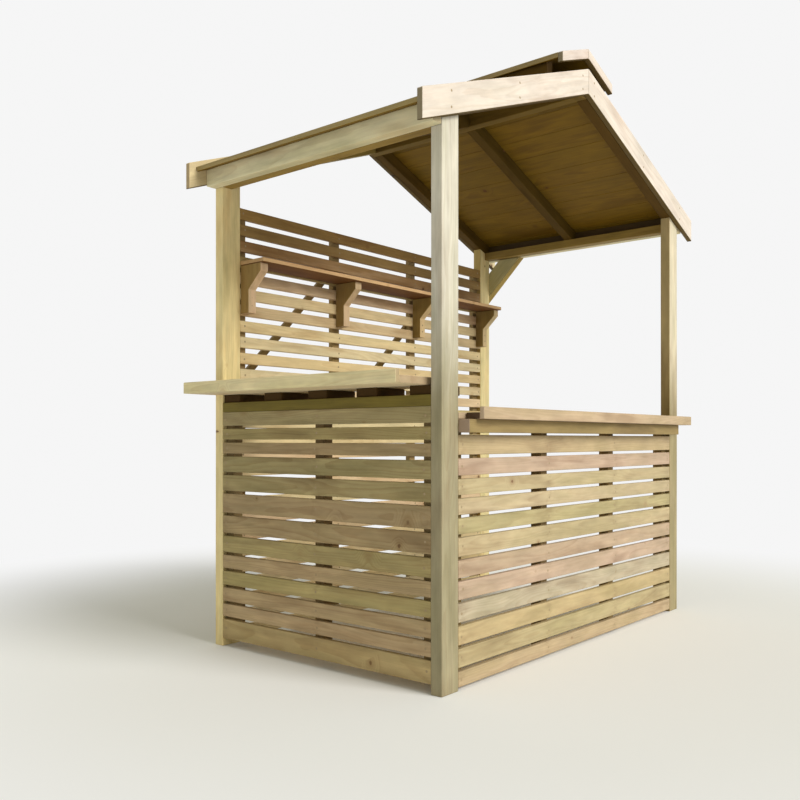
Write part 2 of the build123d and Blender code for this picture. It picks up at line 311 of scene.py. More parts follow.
@dataclass(frozen=True)
class Stains:
    """Wet marks that repeat along a panel where its slats cross the battens."""

    axis: int
    start: float
    step: float
    width: float = 0.034
    strength: float = 0.2

    def share(self, graph: NodeGraph, place: Socket) -> Socket:
        """Where the marks are, broken up by noise.

        Args:
            graph: The material's graph.
            place: Pattern coordinates.

        Returns:
            The marks' share, from 0 to the strength.
        """
        run = graph.split(graph.object_place())[self.axis]
        turns = graph.math("DIVIDE", graph.math("SUBTRACT", run, self.start), self.step)
        off = graph.math("ABSOLUTE", graph.math("SUBTRACT", turns, graph.math("ROUND", turns)))
        off = graph.math("MULTIPLY", off, self.step / self.width)
        patch = graph.patches(place, (26.0, 60.0, 60.0), 3.0, 0.6)
        share = graph.math("MULTIPLY", graph.ease(off, 1.0, 0.2), graph.ease(patch, 0.42, 0.68))
        return graph.math("MULTIPLY", share, self.strength)


@dataclass(frozen=True)
class HeightDarkening:
    """Wood that darkens from one height, up or down: painted shade up under a roof or counter,
    plain darkening towards the foot.
    """

    start: float = 1.40
    full: float = 0.85
    tint: Colour = (0.56, 0.52, 0.39)
    ragged: float = 0.3

    def share(self, graph: NodeGraph, place: Socket) -> Socket:
        """Where it is darker, with a ragged edge.

        Args:
            graph: The material's graph.
            place: Pattern coordinates.

        Returns:
            0 where it keeps its colour to 1 where it is darker.
        """
        height = graph.split(graph.object_place())[2]
        patch = graph.patches(place, (3.0, 20.0, 20.0), 3.0)
        height = graph.math("ADD", height, graph.math("MULTIPLY", patch, self.ragged))
        return graph.ease(height, self.start + self.ragged / 2, self.full + self.ragged / 2)


@dataclass(frozen=True)
class Finish:
    """A procedural finish, whose material is made at its first use."""

    name: str

    def material(self) -> bpy.types.Material:
        """The finish's material."""
        made = bpy.data.materials.get(self.name)
        if made is None:
            made = bpy.data.materials.new(self.name)
            made.use_nodes = True
            self.paint(NodeGraph(made.node_tree))
        return made

    def paint(self, graph: NodeGraph) -> None:
        """Fill the material's graph, in each kind of finish."""
        raise NotImplementedError


@dataclass(frozen=True)
class WoodFinish(Finish):
    """Softwood: growth rings round an off-board pith, fibres, knots and a treatment tint."""

    light: Colour
    dark: Colour
    # Tint of painted shade on the faces marked as looking away from the light.
    under: Colour | None = None
    knot: Colour = linear(112, 80, 50)
    knots: float = 0.66
    knot_cells: Point = (3.1, 11.0, 7.0)
    knot_radius: float = 0.0035
    knot_growth: float = 0.010
    knot_share: float = 0.85
    halo_share: float = 0.45
    green: Colour = linear(168, 172, 130)
    green_share: float = 0.45
    contrast: float = 0.24
    ring: float = 0.0048
    wander: float = 0.085
    shake: float = 0.004
    variety: float = 0.5
    hues: tuple[tuple[float, Colour], ...] = (
        (0.0, (1.06, 0.97, 1.06)), (0.2, (0.93, 0.87, 0.84)), (0.4, (1.02, 0.99, 0.74)),
        (0.6, (0.96, 1.02, 1.06)), (0.8, (0.86, 0.90, 0.66)), (1.0, (1.06, 1.05, 0.98)),
    )
    fibre: float = 0.16
    roughness: float = 0.7
    gloss: float = 0.3
    relief: float = 0.35
    ends: Colour = linear(140, 112, 74)
    end_share: float = 0.5
    stains: Stains | None = None
    # Darkening by height: painted shade under a roof or counter, plain darkening towards the foot.
    height_darkening: HeightDarkening | None = None

    def paint(self, graph: NodeGraph) -> None:
        """Fill the material's graph from the pattern coordinates that each board carries.

        Args:
            graph: The material's graph.
        """
        place = graph.attribute(PATTERN, "Vector")
        knot, bend, halo = self._knots(graph, place)
        rings = self._rings(graph, place, bend)
        fibres = graph.patches(place, (9.0, 520.0, 520.0), 2.0, 0.6)
        colour = self._sound(graph, place, rings, fibres)
        for mask, share, paint in ((halo, self.halo_share, self.dark),
                                   (knot, self.knot_share, self.knot),
                                   (graph.attribute(END_GRAIN), self.end_share, self.ends)):
            colour = graph.mix(graph.math("MULTIPLY", mask, share), colour, paint)
        # Painted shade: darker on the faces that look down or inwards.
        if self.under:
            colour = graph.tinted(colour, self.under, graph.attribute(PAINTED_SHADE))
        if self.stains:
            colour = graph.mix(self.stains.share(graph, place), colour, self.knot)
        # Darker by height: painted shade under a roof or counter, plain darkening towards the foot.
        if self.height_darkening:
            colour = graph.tinted(colour, self.height_darkening.tint, self.height_darkening.share(graph, place))
        height = graph.math("MULTIPLY_ADD", rings, -0.5, graph.math("MULTIPLY", fibres, 0.8))
        height = graph.math("SUBTRACT", height, graph.math("MULTIPLY", knot, 0.4))
        bump = {"Strength": self.relief, "Distance": 0.0006, "Height": height}
        graph.surface({
            "Base Color": colour, "Roughness": self.roughness, "Specular IOR Level": self.gloss,
            "Normal": graph.add("ShaderNodeBump", bump).outputs[0],
        })

    def _knots(self, graph: NodeGraph, place: Socket) -> tuple[Socket, Socket, Socket]:
        """Scattered round knots.

        Args:
            graph: The material's graph.
            place: Pattern coordinates.

        Returns:
            The knot's mask, how far it pushes the rings aside, and a darker halo.
        """
        stretched = graph.vector("MULTIPLY", place, self.knot_cells)
        cells = graph.add("ShaderNodeTexVoronoi", {"Vector": stretched, "Scale": 1.0})
        offset = graph.vector("SUBTRACT", cells.outputs["Position"], stretched)
        metres = graph.vector("DIVIDE", offset, self.knot_cells)
        wobble = graph.scaled(graph.drift(place, (90.0, 90.0, 90.0), 1.0), 0.004)
        metres = graph.vector("ADD", metres, wobble)
        distance = graph.vector("LENGTH", graph.vector("MULTIPLY", metres, (0.85, 1.0, 0.22)))
        chance, size, _ = graph.split(cells.outputs["Color"])
        radius = graph.math("MULTIPLY_ADD", graph.math("MULTIPLY", size, size),
                            self.knot_growth, self.knot_radius)
        radius = graph.math("MULTIPLY", radius, graph.math("GREATER_THAN", chance, self.knots))
        off = graph.math("DIVIDE", distance, graph.math("ADD", radius, 1e-5))
        push = graph.math("MULTIPLY", graph.ease(off, 4.5, 0.5),
                          graph.math("MULTIPLY", radius, 1.6))
        return graph.ease(off, 1.05, 0.8), push, graph.ease(off, 2.6, 0.9)

    def _rings(self, graph: NodeGraph, place: Socket, bend: Socket) -> Socket:
        """Growth rings: pale spring wood that darkens into a thin summer line.

        Args:
            graph: The material's graph.
            place: Pattern coordinates.
            bend: How far knots push the rings aside.

        Returns:
            0 in spring wood to 1 in summer wood.
        """
        wander = graph.scaled(graph.drift(place, (0.9, 4.0, 4.0)), self.wander)
        shake = graph.scaled(graph.drift(place, (7.0, 40.0, 40.0)), self.shake)
        moved = graph.vector("ADD", place, graph.vector("ADD", wander, shake))
        radius = graph.vector("LENGTH", graph.vector("MULTIPLY", moved, (0.0, 1.0, 1.0)))
        count = graph.math("DIVIDE", graph.math("ADD", radius, bend), self.ring)
        phase = graph.math("FRACT", count)
        band = graph.math("MULTIPLY", graph.ease(phase, 0.25, 0.92), graph.ease(phase, 1.0, 0.93))
        year = graph.add("ShaderNodeTexWhiteNoise", {"W": graph.math("FLOOR", count)},
                         noise_dimensions="1D").outputs["Value"]
        return graph.math("MULTIPLY", band, graph.math("MULTIPLY_ADD", year, 0.7, 0.3))

    def _sound(self, graph: NodeGraph, place: Socket, rings: Socket, fibres: Socket) -> Socket:
        """Sound wood without knots.

        Args:
            graph: The material's graph.
            place: Pattern coordinates.
            rings: Ring pattern.
            fibres: Fine fibres.

        Returns:
            The colour.
        """
        wood = graph.mix(graph.math("MULTIPLY", rings, self.contrast), self.light, self.dark)
        wood = graph.tinted(wood, graph.ramp(graph.attribute(TONE), self.hues), self.variety)
        patches = graph.patches(place, (2.6, 14.0, 14.0), 3.0)
        greens = graph.math("MULTIPLY", graph.ease(patches, 0.40, 0.70), self.green_share)
        wood = graph.tinted(wood, self.green, greens, 0.7)
        warm = graph.math("MULTIPLY", graph.ease(patches, 0.52, 0.30), 0.6)
        wood = graph.tinted(wood, self.dark, warm, 0.6)
        streaks = graph.patches(place, (2.2, 46.0, 46.0), 3.0, 0.6)
        clouds = graph.patches(place, (7.0, 22.0, 22.0), 3.0, 0.6)
        shade = graph.math("MULTIPLY_ADD", fibres, self.fibre, 1.0 - self.fibre * 0.5)
        for pattern, depth in ((streaks, self.fibre * 2.2), (clouds, 0.5)):
            layer = graph.math("MULTIPLY_ADD", pattern, depth, 1.0 - depth / 2)
            shade = graph.math("MULTIPLY", shade, layer)
        return graph.vector("MULTIPLY", wood, graph.join(shade, shade, shade))


@dataclass(frozen=True)
class ScrewFinish(Finish):
    """Steel screw head with a bruised brown rim in the wood."""

    name: str = "screw_steel"
    steel: Colour = linear(168, 152, 118)
    rim: Colour = linear(146, 118, 80)
    roughness: float = 0.45
    metallic: float = 0.6
    speckle: Point = (700.0, 700.0, 700.0)

    def paint(self, graph: NodeGraph) -> None:
        """Fill the material's graph: steel where the rim is 0, bruised wood where it is 1.

        Args:
            graph: The material's graph.
        """
        rim = graph.attribute(RIM)
        rust = graph.math("MULTIPLY", graph.patches(graph.object_place(), self.speckle), 0.5)
        steel = graph.mix(rust, self.steel, self.rim)
        graph.surface({
            "Base Color": graph.mix(rim, steel, self.rim), "Roughness": self.roughness,
            "Metallic": graph.math("MULTIPLY_ADD", rim, -self.metallic, self.metallic),
        })


@dataclass(frozen=True)
class FloorFinish(Finish):
    """Matt floor that fades into the backdrop far from the bar."""

    colour: Colour
    backdrop: Colour
    near: float = 1.5
    far: float = 3.6

    def paint(self, graph: NodeGraph) -> None:
        """Fill the material's graph.

        Args:
            graph: The material's graph.
        """
        away = graph.ease(graph.vector("LENGTH", graph.object_place()), self.near, self.far)
        card = graph.add("ShaderNodeBsdfDiffuse", {"Color": opaque(self.colour)})
        glow = graph.add("ShaderNodeEmission", {"Color": opaque(self.backdrop), "Strength": 1.0})
        both = graph.add("ShaderNodeMixShader", {0: away, 1: card.outputs[0], 2: glow.outputs[0]})
        graph.add("ShaderNodeOutputMaterial", {"Surface": both.outputs[0]})


# Front posts: darker towards the foot, and painted shade on the right post's inward face and the
# left post's top.
POSTS = WoodFinish("wood_posts", linear(213, 204, 185), linear(173, 151, 118),
                   under=linear(226, 212, 178), knots=0.92, height_darkening=HeightDarkening())
# Back posts: a lighter, yellower copy of the post wood as painted warm bounce light in the shade,
# and painted shade on the right post's inward face and the left post's top.
BACK_POSTS = WoodFinish("wood_back_posts", linear(240, 220, 168), linear(197, 166, 110),
                        under=linear(226, 212, 178))
# Eave beams: painted shade, dark brown, on the faces that look down and inwards.
BEAMS = WoodFinish("wood_beams", linear(232, 220, 184), linear(186, 158, 110),
                   under=linear(84, 66, 34), green_share=0.5)
# Knee brace: painted shade on the faces that look down.
BRACE = WoodFinish("wood_brace", linear(222, 212, 172), linear(180, 154, 106),
                   under=linear(206, 184, 128))
# Rafters and cap battens: a dark copy of the wood as painted shade under the roof.
RAFTERS = WoodFinish("wood_rafters", linear(92, 70, 26), linear(64, 45, 14), green_share=0.2,
                     gloss=0.08)
# Ridge beam: a dark copy of the wood as painted shade under the roof.
RIDGE = WoodFinish("wood_ridge", linear(122, 98, 44), linear(90, 68, 24), gloss=0.1)
# Eave plates: a dark copy of the wood as painted shade under the roof; on the back rafter on the
# left it is painted light, lighter than the rafters.
PLATES = WoodFinish("wood_plates", linear(158, 134, 66), linear(116, 92, 36))
# Left top rail: a dark olive copy of the wood as painted shade under the counter.
TOP_RAIL = WoodFinish("wood_top_rail", linear(118, 104, 41), linear(84, 69, 24))
FRONT_SLATS = WoodFinish("wood_front_slats", linear(192, 174, 146), linear(150, 119, 86),
                         variety=1.0, stains=Stains(0, -0.8235, 0.55833))
# Left slats: darker towards the top, as painted shade under the counter.
LEFT_SLATS = WoodFinish("wood_left_slats", linear(191, 171, 129), linear(146, 114, 70),
                        variety=0.8, contrast=0.36, fibre=0.24, knots=0.56,
                        stains=Stains(1, -0.476, 0.5025),
                        height_darkening=HeightDarkening(0.15, 0.60, (0.76, 0.76, 0.70)))
# Back slats: darker and browner from above the shelf up, as painted shade under the roof.
BACK_SLATS = WoodFinish("wood_back_slats", linear(221, 200, 158), linear(179, 144, 97),
                        variety=0.8, green_share=0.15, height_darkening=HeightDarkening(1.38, 1.66, (0.47, 0.37, 0.22)))
# Battens and back braces: a darker copy of the wood as painted shade behind the slats.
BATTENS = WoodFinish("wood_battens", linear(150, 126, 84), linear(112, 88, 50))
# Front counter: dark brown ends, partly end grain and partly painted shade.
FRONT_COUNTER = WoodFinish("wood_front_counter", linear(196, 174, 147), linear(155, 125, 96),
                           ends=linear(64, 42, 20), end_share=0.9)
FRONT_EDGE = replace(FRONT_COUNTER, name="wood_front_edge", ends=FRONT_COUNTER.light)
LEFT_COUNTER = WoodFinish("wood_left_counter", linear(238, 222, 180), linear(196, 164, 118),
                          ends=linear(138, 112, 84), end_share=0.7)
# Front rail: an olive, darker copy of the wood as painted shade under the counter's edge; its ends
# are pale end grain.
RAIL = WoodFinish("wood_rail", linear(154, 134, 90), linear(118, 94, 55),
                  ends=linear(172, 150, 134), end_share=0.8)
# Left counter supports: a very dark copy of the wood as painted shade under the counter.
SUPPORTS = WoodFinish("wood_supports", linear(80, 58, 28), linear(54, 37, 15),
                      ends=linear(68, 50, 24), end_share=0.8, gloss=0.08)
# Roof and cap boards: painted shade, dark brown, on their undersides.
ROOFING = WoodFinish("wood_roof", linear(162, 144, 96), linear(122, 98, 58),
                     under=linear(200, 176, 47), green_share=0.4, contrast=0.4)
# Front bargeboards and cap trims: painted shade on their undersides.
FASCIA = WoodFinish("wood_fascia", linear(220, 208, 196), linear(192, 167, 139),
                    under=linear(120, 104, 56), green_share=0.2, variety=0.25,
                    ends=linear(112, 98, 58), end_share=0.85)
# Back bargeboards and cap trims: a darker copy of the front ones' wood as painted shade on the far
# gable, and painted shade on their undersides.
BACK_FASCIA = WoodFinish("wood_back_fascia", linear(208, 191, 154), linear(172, 143, 104),
                         under=linear(120, 104, 56), green_share=0.2)
# Shelf: painted shade on its underside.
SHELF = WoodFinish("wood_shelf", linear(226, 190, 138), linear(180, 136, 86),
                   under=linear(136, 112, 76), green_share=0.1)
# Shelf brackets: painted shade on the faces that look left.
BRACKETS = WoodFinish("wood_brackets", linear(220, 194, 154), linear(176, 142, 100),
                      under=linear(176, 168, 126))
SCREWS = ScrewFinish()


@dataclass(frozen=True)
class Span:
    """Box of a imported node, in metres."""

    low: Vector
    high: Vector

    @classmethod
    def of(cls, node: str) -> "Span":
        """Box of a node of the frame."""
        low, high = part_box(node)
        return cls(low, high)

    @property
    def size(self) -> Vector:
        """Edge lengths."""
        return self.high - self.low

    @property
    def centre(self) -> Vector:
        """Middle point."""
        return (self.low + self.high) / 2


def spread(low: float, length: float, width: float, count: int) -> list[float]:
    """Centres of equal pieces that are spread evenly over a length.

    Args:
        low: Where the length starts.
        length: The length, to the outsides of the first and last piece.
        width: Width of a piece.
        count: How many there are.

    Returns:
        The centre of each piece.
    """
    step = (length - width) / (count - 1)
    return [low + width / 2 + step * number for number in range(count)]


def mesh_of(solid: Solid, name: str) -> bpy.types.Mesh:
    """Free a bmesh into a new mesh.

    Args:
        solid: Edited geometry.
        name: Name of the mesh.

    Returns:
        The mesh.
    """
    mesh = bpy.data.meshes.new(name)
    solid.to_mesh(mesh)
    solid.free()
    return mesh


def placed(mesh: bpy.types.Mesh, name: str) -> Piece:
    """Link a mesh to the scene as an object at the origin."""
    made = bpy.data.objects.new(name, mesh)
    bpy.context.scene.collection.objects.link(made)
    return made


def store(mesh: bpy.types.Mesh, name: str, kind: str, domain: str, values: list) -> None:
    """Store an attribute on a mesh.

    Args:
        mesh: Mesh to write on.
        name: Attribute name.
        kind: FLOAT or FLOAT_VECTOR.
        domain: POINT or FACE.
        values: One number or vector for each element.
    """
    attribute = mesh.attributes.new(name, kind, domain)
    flat = [part for value in values for part in value] if kind == "FLOAT_VECTOR" else values
    attribute.data.foreach_set("vector" if kind == "FLOAT_VECTOR" else "value", flat)


def apart(solid: Solid) -> list[set[int]]:
    """Vertex numbers of each solid that hangs together.

    Args:
        solid: One or more closed solids.

    Returns:
        A set of vertex numbers for each of them.
    """
    solid.verts.ensure_lookup_table()
    solid.verts.index_update()
    waiting, groups = set(range(len(solid.verts))), []
    while waiting:
        front, group = [waiting.pop()], set()
        while front:
            number = front.pop()
            group.add(number)
            for edge in solid.verts[number].link_edges:
                other = edge.other_vert(solid.verts[number]).index
                if other in waiting:
                    waiting.discard(other)
                    front.append(other)
        groups.append(group)
    return sorted(groups, key=min)


@dataclass
class Sawmill:
    """Turns square-cut solids into timbers: eased edges, a slight bow, and pattern coordinates.

    Edges are eased by at most a share of the narrowest side. A face counts as an eased edge, as end
    grain or as a face with painted shade by how narrow it is and which way it looks.
    """

    ease: float = 0.0025
    ease_share: float = 0.2
    narrow: float = 3.2
    bow: float = 0.0009
    waves: float = 1.3
    scatter: float = 90.0
    skin: float = 0.0003
    pace: float = 0.12
    end_facing: float = 0.8
    hidden_facing: float = 0.3
    seed: int = 11
    rng: random.Random = field(init=False)

    def __post_init__(self) -> None:
        """Seed the choices, and the noise of the bows, which would else differ from run to run."""
        self.rng = random.Random(self.seed)
        noise.seed_set(self.seed)

    def timber(self, node: str, grain: Grain, tone: float | None, hidden: Vector) -> Piece:
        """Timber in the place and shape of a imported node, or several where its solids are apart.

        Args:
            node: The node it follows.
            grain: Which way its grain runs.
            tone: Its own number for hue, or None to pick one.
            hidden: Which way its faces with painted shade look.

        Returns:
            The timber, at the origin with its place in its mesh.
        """
        whole = bmesh.new()
        whole.from_mesh(frame["nodes"][node].data)
        bmesh.ops.remove_doubles(whole, verts=whole.verts, dist=1e-5)
        bmesh.ops.dissolve_limit(whole, angle_limit=math.radians(1), verts=whole.verts,
                                 edges=whole.edges)
        for layer in list(whole.loops.layers.uv):
            whole.loops.layers.uv.remove(layer)
        parts = []
        for number, group in enumerate(apart(whole)):
            solid = whole.copy()
            solid.verts.ensure_lookup_table()
            others = [solid.verts[i] for i in range(len(solid.verts)) if i not in group]
            bmesh.ops.delete(solid, geom=others, context="VERTS")
            corners = [vert.co for vert in solid.verts]
            span = Span(*(Vector(pick(corner[axis] for corner in corners) for axis in range(3))
                          for pick in (min, max)))
            parts.append(self._finish(solid, f"{node}_{number}", grain, span, tone, hidden))
        whole.free()
        return joined(node, parts)

    def board(self, name: str, size: Vector, grain: Grain) -> Piece:
        """Straight board round the origin, to be set out in a row.

        Args:
            name: Name of the object.
            size: Edge lengths.
            grain: Which way its grain runs.

        Returns:
            The board.
        """
        solid = bmesh.new()
        bmesh.ops.create_cube(solid, size=1.0, matrix=Matrix.Diagonal((*size, 1.0)))
        return self._finish(solid, name, grain, Span(-size / 2, size / 2), 0.0, DOWN, Vector())

    def _finish(self, solid: Solid, name: str, grain: Grain, span: Span, tone: float | None,
                hidden: Vector, shift: Vector | None = None) -> Piece:
        """Ease, cut, bow and mark a solid.

        Args:
            solid: Square-cut solid.
            name: Name of the object.
            grain: Which way its grain runs.
            span: Box that it stays inside.
            tone: Number for hue, or None to pick one.
            hidden: Which way its faces with painted shade look.
            shift: Offset of its pattern for a straight timber, or None to pick one and bow it.

        Returns:
            The finished timber.
        """
        straight = shift is not None
        shift = shift if straight else self.off_cut()
        tone = self.rng.random() if tone is None else tone
        along = grain.along
        across, through = self._section(along, span.size)
        ease = min(self.ease, min(span.size) * self.ease_share)
        bmesh.ops.bevel(solid, geom=solid.edges[:], offset=ease, offset_type="OFFSET", segments=2,
                        profile=0.5, affect="EDGES", clamp_overlap=True)
        self._cut(solid, span.centre, along)
        solid.normal_update()
        for face in solid.faces:
            longest = max(edge.calc_length() for edge in face.edges)
            face.smooth = face.calc_area() < self.narrow * ease * longest
        ends = [float(abs(face.normal.dot(along)) > self.end_facing) for face in solid.faces]
        # Faces that look the hidden way get painted shade.
        lows = [float(face.normal.dot(hidden) > self.hidden_facing) for face in solid.faces]
        offsets = [vert.co - span.centre for vert in solid.verts]
        places = [Vector(offset.dot(axis) for axis in (along, across, through)) + shift
                  for offset in offsets]
        if not straight:
            self._bend(solid, span, places, (across, through), shift.y * self.scatter)
        mesh = mesh_of(solid, name)
        store(mesh, PATTERN, "FLOAT_VECTOR", "POINT", places)
        store(mesh, TONE, "FLOAT", "POINT", [tone] * len(places))
        store(mesh, END_GRAIN, "FLOAT", "FACE", ends)
        store(mesh, PAINTED_SHADE, "FLOAT", "FACE", lows)
        return placed(mesh, name)

    def off_cut(self) -> Vector:
        """Place of a board in its log, so that no two boards show the same rings."""
        depth = self.rng.choice((-1, 1)) * self.rng.uniform(*LOG_DEPTHS)
        along = self.rng.uniform(0, LOG_LENGTH)
        return Vector((along, self.rng.uniform(-LOG_ACROSS, LOG_ACROSS), depth))

    def _cut(self, solid: Solid, centre: Vector, along: Vector) -> None:
        """Cut a timber's faces across the grain at an even pace, so that it can bow.

        Args:
            solid: The timber.
            centre: Middle of its box.
            along: Unit vector along the grain.
        """
        reach = [(vert.co - centre).dot(along) for vert in solid.verts]
        low, length = min(reach), max(reach) - min(reach)
        cuts = max(int(length / self.pace), 1)
        for number in range(1, cuts):
            point = centre + along * (low + length * number / cuts)
            geometry = solid.verts[:] + solid.edges[:] + solid.faces[:]
            bmesh.ops.bisect_plane(solid, geom=geometry, plane_co=point, plane_no=along)

    def _bend(self, solid: Solid, span: Span, places: list[Vector],
              section: tuple[Vector, Vector], row: float) -> None:
        """Bow a timber along its grain, inside its box.

        Args:
            solid: The timber.
            span: Its box.
            places: Pattern coordinates of its vertices.
            section: Wider and narrower direction of its section.
            row: Where in the noise its own bow is read.
        """
        margin = Vector((self.skin,) * 3)
        low, high = span.low + margin, span.high - margin
        for vert, place in zip(solid.verts, places):
            drift = noise.noise_vector(Vector((place.x * self.waves, row, 0.5)))
            moved = vert.co + (section[0] * drift.x + section[1] * drift.y) * self.bow
            vert.co = Vector(min(max(c, lo), hi) for c, lo, hi in zip(moved, low, high))

    @staticmethod
    def _section(along: Vector, size: Vector) -> tuple[Vector, Vector]:
        """Wider and narrower direction of a timber's section.

        Args:
            along: Unit vector along the grain.
            size: Edge lengths of its box.

        Returns:
            Two unit vectors square to the grain.
        """
        axes = [Vector(row) for row in Matrix.Identity(3)]
        square = [axis for axis in axes if abs(axis.dot(along)) < 1e-3]
        if len(square) == 2:
            square.sort(key=lambda axis: -abs(size.dot(axis)))
            return square[0], square[1]
        return square[0].cross(along), square[0]


MILL = Sawmill()


class PointGraph(NodeGraph):
    """Nodes of a geometry tree that sets pieces out on points."""

    def named(self, name: str) -> Socket:
        """Read an attribute, a number as a vector of three like it."""
        node = self.add("GeometryNodeInputNamedAttribute", {"Name": name}, data_type="FLOAT_VECTOR")
        return node.outputs["Attribute"]

    def stored(self, geometry: Socket, name: str, kind: str, domain: str, value: Socket) -> Socket:
        """Write an attribute.

        Args:
            geometry: Geometry to write on.
            name: Attribute name.
            kind: FLOAT or FLOAT_VECTOR.
            domain: POINT or INSTANCE.
            value: What to write.

        Returns:
            The geometry with the attribute.
        """
        inputs = {"Geometry": geometry, "Name": name, "Value": value}
        node = self.add("GeometryNodeStoreNamedAttribute", inputs, data_type=kind, domain=domain)
        return node.outputs[0]

    def random(self, low: float, high: float, seed: Socket) -> Socket:
        """Random number for each point."""
        inputs = {2: low, 3: high, "Seed": seed}
        return self.add("FunctionNodeRandomValue", inputs, data_type="FLOAT").outputs[1]


class PointTree:
    """Geometry Nodes tree that sets a piece out on each point of a mesh."""

    NAME = "points"
    INPUTS: tuple[tuple[str, str], ...] = (
        ("Piece", "NodeSocketObject"), ("Seed", "NodeSocketInt"), ("Finish", "NodeSocketMaterial"),
    )

    @classmethod
    def tree(cls) -> bpy.types.NodeTree:
        """The tree with its named inputs, made at its first use.

        Returns:
            The geometry tree, which ends in the finish.
        """
        known = bpy.data.node_groups.get(cls.NAME)
        if known:
            return known
        tree = bpy.data.node_groups.new(cls.NAME, "GeometryNodeTree")
        for side in ("INPUT", "OUTPUT"):
            tree.interface.new_socket("Geometry", in_out=side, socket_type="NodeSocketGeometry")
        for name, kind in cls.INPUTS:
            tree.interface.new_socket(name, in_out="INPUT", socket_type=kind)
        graph = PointGraph(tree)
        given = graph.add("NodeGroupInput").outputs
        inputs = {"Geometry": cls.solid(graph, given), "Material": given["Finish"]}
        graph.add("NodeGroupOutput", {0: graph.add("GeometryNodeSetMaterial", inputs).outputs[0]})
        return tree

    @classmethod
    def solid(cls, graph: PointGraph, given: bpy.types.NodeOutputs) -> Socket:
        """Set the pieces out and realize them, in each kind of tree.

        Args:
            graph: The tree's graph.
            given: The tree's inputs.

        Returns:
            The solid geometry.
        """
        raise NotImplementedError

    @staticmethod
    def instances(graph: PointGraph, given: bpy.types.NodeOutputs, **inputs: object) -> Socket:
        """Put the piece on each point.

        Args:
            graph: The tree's graph.
            given: The tree's inputs.
            **inputs: Rotation and Scale.

        Returns:
            The instances.
        """
        piece = graph.add("GeometryNodeObjectInfo", {"Object": given["Piece"]})
        inputs |= {"Points": given["Geometry"], "Instance": piece.outputs["Geometry"]}
        return graph.add("GeometryNodeInstanceOnPoints", inputs).outputs[0]

    @classmethod
    def set_out(cls, name: str, spots: list[Vector], mark: str, marks: list, values: dict) -> Piece:
        """Run the tree on a mesh of points and keep the plain result.

        Args:
            name: Name of the result.
            spots: Where each piece goes.
            mark: Name of the vector that each point carries.
            marks: That vector for each point.
            values: Input name to value; the piece itself is used up.

        Returns:
            An object with a plain mesh and no modifier.
        """
        points = bpy.data.meshes.new(name + "_points")
        points.from_pydata(spots, [], [])
        store(points, mark, "FLOAT_VECTOR", "POINT", marks)
        source, tree = placed(points, name + "_points"), cls.tree()
        modifier = source.modifiers.new(tree.name, "NODES")
        modifier.node_group = tree
        for item in tree.interface.items_tree:
            if item.in_out == "INPUT" and item.name in values:
                modifier[item.identifier] = values[item.name]
        graph = bpy.context.evaluated_depsgraph_get()
        mesh = bpy.data.meshes.new_from_object(
            source.evaluated_get(graph), preserve_all_data_layers=True, depsgraph=graph
        )
        mesh.name = name
        bpy.data.objects.remove(source, do_unlink=True)
        bpy.data.objects.remove(values["Piece"], do_unlink=True)
        return placed(mesh, name)


class RowTree(PointTree):
    """Sets out a board at each point, each cut from its own part of a log."""

    NAME = "board_row"
    INPUTS = (*PointTree.INPUTS, ("Turn", "NodeSocketVector"), ("Bow", "NodeSocketVector"))
    FIRST_DRAW = 7
    WAVES = (1.4, 0.0, 0.0)

    @classmethod
    def solid(cls, graph: PointGraph, given: bpy.types.NodeOutputs) -> Socket:
        """Set the boards out, shift their patterns and bow them.

        Args:
            graph: The tree's graph.
            given: The tree's inputs.

        Returns:
            The solid boards.
        """
        ranges = ((0.0, 1.0), (0.0, LOG_LENGTH), (-LOG_ACROSS, LOG_ACROSS), LOG_DEPTHS, (0.0, 1.0))
        side, along, across, depth, tone = (
            graph.random(low, high, graph.math("ADD", given["Seed"], cls.FIRST_DRAW + number))
            for number, (low, high) in enumerate(ranges)
        )
        side = graph.math("SIGN", graph.math("SUBTRACT", side, 0.5))
        shift = graph.join(along, across, graph.math("MULTIPLY", side, depth))
        rows = cls.instances(graph, given, Rotation=given["Turn"], Scale=graph.named(STRETCH))
        rows = graph.stored(rows, SHIFT, "FLOAT_VECTOR", "INSTANCE", shift)
        rows = graph.stored(rows, OWN_TONE, "FLOAT", "INSTANCE", tone)
        solid = graph.add("GeometryNodeRealizeInstances", {0: rows}).outputs[0]
        pattern = graph.vector("ADD", graph.named(PATTERN), graph.named(SHIFT))
        solid = graph.stored(solid, PATTERN, "FLOAT_VECTOR", "POINT", pattern)
        solid = graph.stored(solid, TONE, "FLOAT", "POINT", graph.named(OWN_TONE))
        drift = graph.drift(graph.named(PATTERN), cls.WAVES, 1.0)
        offset = graph.vector("MULTIPLY", drift, given["Bow"])
        moved = graph.add("GeometryNodeSetPosition", {"Geometry": solid, "Offset": offset})
        return moved.outputs[0]


class ScrewTree(PointTree):
    """Sets a screw head on each point, turned out of its face and spun at random."""

    NAME = "screw_set"

    @classmethod
    def solid(cls, graph: PointGraph, given: bpy.types.NodeOutputs) -> Socket:
        """Set the heads out.

        Args:
            graph: The tree's graph.
            given: The tree's inputs.

        Returns:
            The solid heads.
        """
        facing = graph.add("FunctionNodeAlignRotationToVector", {"Vector": graph.named(FACING)},
                           axis="Z")
        spin = graph.random(0.0, math.tau, given["Seed"])
        turn = graph.add("FunctionNodeAxisAngleToRotation", {"Axis": tuple(UP), "Angle": spin})
        both = graph.add("FunctionNodeRotateRotation", {0: facing.outputs[0], 1: turn.outputs[0]},
                         rotation_space="LOCAL")
        heads = cls.instances(graph, given, Rotation=both.outputs[0])
        return graph.add("GeometryNodeRealizeInstances", {0: heads}).outputs[0]


@dataclass(frozen=True)
class Place:
    """Where one board of a row goes."""

    centre: Vector
    stretch: Point = (1.0, 1.0, 1.0)


